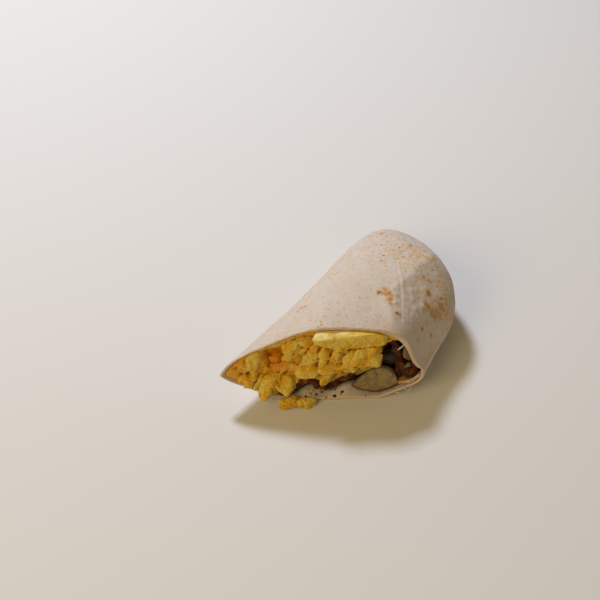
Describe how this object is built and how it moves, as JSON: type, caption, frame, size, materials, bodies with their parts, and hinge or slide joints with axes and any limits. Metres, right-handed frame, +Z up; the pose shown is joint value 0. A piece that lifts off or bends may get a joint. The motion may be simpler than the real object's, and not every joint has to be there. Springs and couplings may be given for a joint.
{
  "type": "breakfast burrito half",
  "caption": "Half of a bias-cut breakfast burrito: a flour tortilla rolled round scrambled egg, bacon and potato, with a folded closed end and the filling showing at the cut.",
  "frame": {"origin": "on the flat underside, in the middle of the outline's box", "axes": "+X along the roll towards the folded closed end, +Y towards the long, pointed side of the cut, +Z up from the surface it lies on"},
  "size_m": [0.1482, 0.0852, 0.0471],
  "materials": {
    "tortilla": "soft, floury",
    "egg": "moist",
    "bacon": "fried, slightly greasy",
    "potato": "fried, browned at the edge"
  },
  "bodies": {
    "root": {"tortilla_wrap": "tortilla", "scrambled_egg": "egg", "bacon_lower": "bacon", "bacon_right": "bacon", "potato_slice": "potato", "potato_cube": "potato", "potato_bit": "potato", "egg_piece_left": "egg", "egg_piece_right": "egg"}
  },
  "joints": []
}
